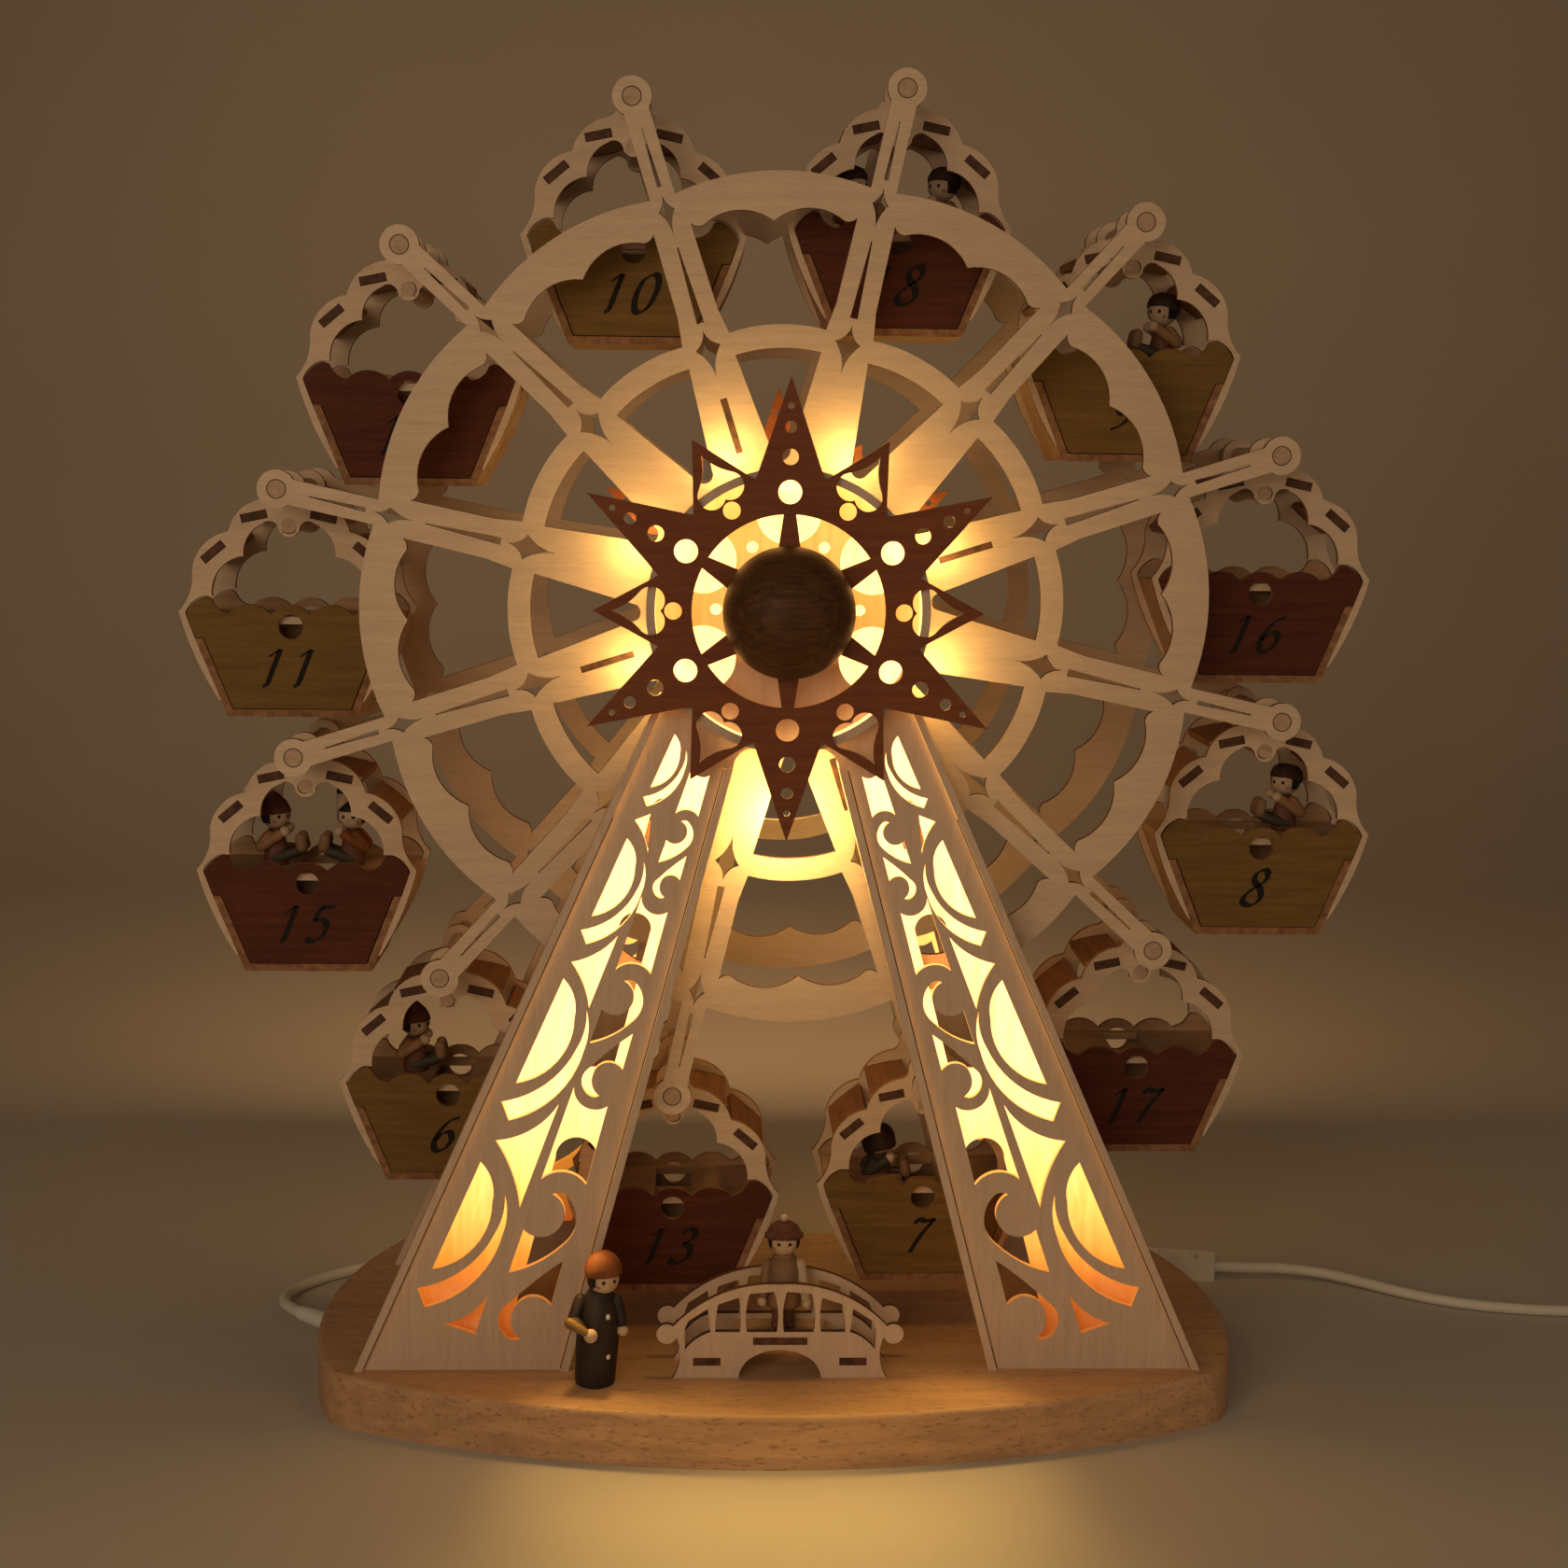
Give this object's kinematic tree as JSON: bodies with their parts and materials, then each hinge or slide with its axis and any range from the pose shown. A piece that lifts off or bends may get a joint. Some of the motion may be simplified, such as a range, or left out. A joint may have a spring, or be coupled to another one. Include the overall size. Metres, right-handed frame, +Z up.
{
  "type": "wooden ferris wheel calendar",
  "caption": "Table-top wooden ferris wheel with hanging gondolas, each with numbered drawers, on a lit pair of fretwork A-frames",
  "frame": {"origin": "middle of the base board's underside, straight below the wheel's axle", "axes": "X to the right and Y to the back as seen from the numbered front, Z up; the wheel turns about Y"},
  "size_m": [0.7188, 0.2337, 0.5397],
  "materials": {
    "pale_board": "sanded and oiled board",
    "frame_ply": "laser-cut plywood, oiled",
    "wheel_ply": "stained laser-cut plywood",
    "light_ply": "laser-cut plywood, plain",
    "dark_ply": "dark stained plywood",
    "dark_wood": "turned and dark stained",
    "turned_wood": "turned dowel",
    "red_stain": "red-brown stained plywood",
    "olive_stain": "olive stained plywood",
    "doll_paint": "painted turned wood",
    "lamp_board": "lamp board",
    "white_plastic": "moulded, gloss",
    "white_lead": "smooth flexible sheath"
  },
  "bodies": {
    "stand": {"base_board": "pale_board", "front_outer_panel": "frame_ply", "rear_outer_panel": "frame_ply", "inner_panels": "frame_ply", "pillar_side_walls": "frame_ply", "hub_drums": "dark_ply", "axle_bushes": "turned_wood", "hub_stars": "dark_ply", "footbridge": "frame_ply", "base_figures": "doll_paint", "lamps": "lamp_board", "lead_gland": "white_plastic", "inner_lead": "white_lead", "cord_switch": "white_plastic", "outer_lead": "white_lead", "lead_coil": "white_lead", "plug": "white_plastic"},
    "wheel": {"wheel_axle": "turned_wood", "hub_knobs": "dark_wood", "front_wheel_plate": "wheel_ply", "rear_wheel_plate": "wheel_ply", "wheel_ribs": "wheel_ply", "gondola_pins": "turned_wood"},
    "rocker": {"switch_rocker": "white_plastic"},
    "gondola_01": {"gondola_01": "light_ply", "riders_01": "doll_paint"},
    "front_box_01": {"front_drawer_01": "red_stain"},
    "rear_box_01": {"rear_drawer_01": "red_stain"},
    "gondola_02": {"gondola_02": "light_ply", "riders_02": "doll_paint"},
    "front_box_02": {"front_drawer_02": "olive_stain"},
    "rear_box_02": {"rear_drawer_02": "olive_stain"},
    "gondola_03": {"gondola_03": "light_ply"},
    "front_box_03": {"front_drawer_03": "red_stain"},
    "rear_box_03": {"rear_drawer_03": "red_stain"},
    "gondola_04": {"gondola_04": "light_ply", "riders_04": "doll_paint"},
    "front_box_04": {"front_drawer_04": "olive_stain"},
    "rear_box_04": {"rear_drawer_04": "olive_stain"},
    "gondola_05": {"gondola_05": "light_ply"},
    "front_box_05": {"front_drawer_05": "red_stain"},
    "rear_box_05": {"rear_drawer_05": "red_stain"},
    "gondola_06": {"gondola_06": "light_ply", "riders_06": "doll_paint"},
    "front_box_06": {"front_drawer_06": "olive_stain"},
    "rear_box_06": {"rear_drawer_06": "olive_stain"},
    "gondola_07": {"gondola_07": "light_ply"},
    "front_box_07": {"front_drawer_07": "red_stain"},
    "rear_box_07": {"rear_drawer_07": "red_stain"},
    "gondola_08": {"gondola_08": "light_ply", "riders_08": "doll_paint"},
    "front_box_08": {"front_drawer_08": "olive_stain"},
    "rear_box_08": {"rear_drawer_08": "olive_stain"},
    "gondola_09": {"gondola_09": "light_ply", "riders_09": "doll_paint"},
    "front_box_09": {"front_drawer_09": "red_stain"},
    "rear_box_09": {"rear_drawer_09": "red_stain"},
    "gondola_10": {"gondola_10": "light_ply"},
    "front_box_10": {"front_drawer_10": "olive_stain"},
    "rear_box_10": {"rear_drawer_10": "olive_stain"},
    "gondola_11": {"gondola_11": "light_ply"},
    "front_box_11": {"front_drawer_11": "red_stain"},
    "rear_box_11": {"rear_drawer_11": "red_stain"},
    "gondola_12": {"gondola_12": "light_ply"},
    "front_box_12": {"front_drawer_12": "olive_stain"},
    "rear_box_12": {"rear_drawer_12": "olive_stain"}
  },
  "joints": [
    {"name": "wheel_spin", "type": "hinge", "parent": "stand", "child": "wheel", "pos_m": [0, 0, 0.332], "axis": [0, 1, 0], "continuous": true},
    {"name": "switch_rock", "type": "hinge", "parent": "stand", "child": "rocker", "pos_m": [0.1989, 0.10095, 0.0075], "axis": [0.2084, 0.978, 0], "range_deg": [-7, 7]},
    {"name": "gondola_01_swing", "type": "hinge", "parent": "wheel", "child": "gondola_01", "pos_m": [0.04437, 0, 0.53214], "axis": [0, 1, 0], "continuous": true},
    {"name": "front_drawer_01_slide", "type": "slide", "parent": "gondola_01", "child": "front_box_01", "axis": [0, -1, 0], "range_m": [0, 0.018]},
    {"name": "rear_drawer_01_slide", "type": "slide", "parent": "gondola_01", "child": "rear_box_01", "axis": [0, 1, 0], "range_m": [0, 0.018]},
    {"name": "gondola_02_swing", "type": "hinge", "parent": "wheel", "child": "gondola_02", "pos_m": [0.1385, 0, 0.48314], "axis": [0, 1, 0], "continuous": true},
    {"name": "front_drawer_02_slide", "type": "slide", "parent": "gondola_02", "child": "front_box_02", "axis": [0, -1, 0], "range_m": [0, 0.018]},
    {"name": "rear_drawer_02_slide", "type": "slide", "parent": "gondola_02", "child": "rear_box_02", "axis": [0, 1, 0], "range_m": [0, 0.018]},
    {"name": "gondola_03_swing", "type": "hinge", "parent": "wheel", "child": "gondola_03", "pos_m": [0.19551, 0, 0.39365], "axis": [0, 1, 0], "continuous": true},
    {"name": "front_drawer_03_slide", "type": "slide", "parent": "gondola_03", "child": "front_box_03", "axis": [0, -1, 0], "range_m": [0, 0.018]},
    {"name": "rear_drawer_03_slide", "type": "slide", "parent": "gondola_03", "child": "rear_box_03", "axis": [0, 1, 0], "range_m": [0, 0.018]},
    {"name": "gondola_04_swing", "type": "hinge", "parent": "wheel", "child": "gondola_04", "pos_m": [0.20014, 0, 0.28763], "axis": [0, 1, 0], "continuous": true},
    {"name": "front_drawer_04_slide", "type": "slide", "parent": "gondola_04", "child": "front_box_04", "axis": [0, -1, 0], "range_m": [0, 0.018]},
    {"name": "rear_drawer_04_slide", "type": "slide", "parent": "gondola_04", "child": "rear_box_04", "axis": [0, 1, 0], "range_m": [0, 0.018]},
    {"name": "gondola_05_swing", "type": "hinge", "parent": "wheel", "child": "gondola_05", "pos_m": [0.15114, 0, 0.1935], "axis": [0, 1, 0], "continuous": true},
    {"name": "front_drawer_05_slide", "type": "slide", "parent": "gondola_05", "child": "front_box_05", "axis": [0, -1, 0], "range_m": [0, 0.018]},
    {"name": "rear_drawer_05_slide", "type": "slide", "parent": "gondola_05", "child": "rear_box_05", "axis": [0, 1, 0], "range_m": [0, 0.018]},
    {"name": "gondola_06_swing", "type": "hinge", "parent": "wheel", "child": "gondola_06", "pos_m": [0.06164, 0, 0.13649], "axis": [0, 1, 0], "continuous": true},
    {"name": "front_drawer_06_slide", "type": "slide", "parent": "gondola_06", "child": "front_box_06", "axis": [0, -1, 0], "range_m": [0, 0.018]},
    {"name": "rear_drawer_06_slide", "type": "slide", "parent": "gondola_06", "child": "rear_box_06", "axis": [0, 1, 0], "range_m": [0, 0.018]},
    {"name": "gondola_07_swing", "type": "hinge", "parent": "wheel", "child": "gondola_07", "pos_m": [-0.04437, 0, 0.13186], "axis": [0, 1, 0], "continuous": true},
    {"name": "front_drawer_07_slide", "type": "slide", "parent": "gondola_07", "child": "front_box_07", "axis": [0, -1, 0], "range_m": [0, 0.018]},
    {"name": "rear_drawer_07_slide", "type": "slide", "parent": "gondola_07", "child": "rear_box_07", "axis": [0, 1, 0], "range_m": [0, 0.018]},
    {"name": "gondola_08_swing", "type": "hinge", "parent": "wheel", "child": "gondola_08", "pos_m": [-0.1385, 0, 0.18086], "axis": [0, 1, 0], "continuous": true},
    {"name": "front_drawer_08_slide", "type": "slide", "parent": "gondola_08", "child": "front_box_08", "axis": [0, -1, 0], "range_m": [0, 0.018]},
    {"name": "rear_drawer_08_slide", "type": "slide", "parent": "gondola_08", "child": "rear_box_08", "axis": [0, 1, 0], "range_m": [0, 0.018]},
    {"name": "gondola_09_swing", "type": "hinge", "parent": "wheel", "child": "gondola_09", "pos_m": [-0.19551, 0, 0.27036], "axis": [0, 1, 0], "continuous": true},
    {"name": "front_drawer_09_slide", "type": "slide", "parent": "gondola_09", "child": "front_box_09", "axis": [0, -1, 0], "range_m": [0, 0.018]},
    {"name": "rear_drawer_09_slide", "type": "slide", "parent": "gondola_09", "child": "rear_box_09", "axis": [0, 1, 0], "range_m": [0, 0.018]},
    {"name": "gondola_10_swing", "type": "hinge", "parent": "wheel", "child": "gondola_10", "pos_m": [-0.20014, 0, 0.37637], "axis": [0, 1, 0], "continuous": true},
    {"name": "front_drawer_10_slide", "type": "slide", "parent": "gondola_10", "child": "front_box_10", "axis": [0, -1, 0], "range_m": [0, 0.018]},
    {"name": "rear_drawer_10_slide", "type": "slide", "parent": "gondola_10", "child": "rear_box_10", "axis": [0, 1, 0], "range_m": [0, 0.018]},
    {"name": "gondola_11_swing", "type": "hinge", "parent": "wheel", "child": "gondola_11", "pos_m": [-0.15114, 0, 0.4705], "axis": [0, 1, 0], "continuous": true},
    {"name": "front_drawer_11_slide", "type": "slide", "parent": "gondola_11", "child": "front_box_11", "axis": [0, -1, 0], "range_m": [0, 0.018]},
    {"name": "rear_drawer_11_slide", "type": "slide", "parent": "gondola_11", "child": "rear_box_11", "axis": [0, 1, 0], "range_m": [0, 0.018]},
    {"name": "gondola_12_swing", "type": "hinge", "parent": "wheel", "child": "gondola_12", "pos_m": [-0.06164, 0, 0.52751], "axis": [0, 1, 0], "continuous": true},
    {"name": "front_drawer_12_slide", "type": "slide", "parent": "gondola_12", "child": "front_box_12", "axis": [0, -1, 0], "range_m": [0, 0.018]},
    {"name": "rear_drawer_12_slide", "type": "slide", "parent": "gondola_12", "child": "rear_box_12", "axis": [0, 1, 0], "range_m": [0, 0.018]}
  ],
  "couplings": [
    {"joint": "gondola_01_swing", "follows": "wheel_spin", "ratio": -1},
    {"joint": "gondola_02_swing", "follows": "wheel_spin", "ratio": -1},
    {"joint": "gondola_03_swing", "follows": "wheel_spin", "ratio": -1},
    {"joint": "gondola_04_swing", "follows": "wheel_spin", "ratio": -1},
    {"joint": "gondola_05_swing", "follows": "wheel_spin", "ratio": -1},
    {"joint": "gondola_06_swing", "follows": "wheel_spin", "ratio": -1},
    {"joint": "gondola_07_swing", "follows": "wheel_spin", "ratio": -1},
    {"joint": "gondola_08_swing", "follows": "wheel_spin", "ratio": -1},
    {"joint": "gondola_09_swing", "follows": "wheel_spin", "ratio": -1},
    {"joint": "gondola_10_swing", "follows": "wheel_spin", "ratio": -1},
    {"joint": "gondola_11_swing", "follows": "wheel_spin", "ratio": -1},
    {"joint": "gondola_12_swing", "follows": "wheel_spin", "ratio": -1}
  ]
}
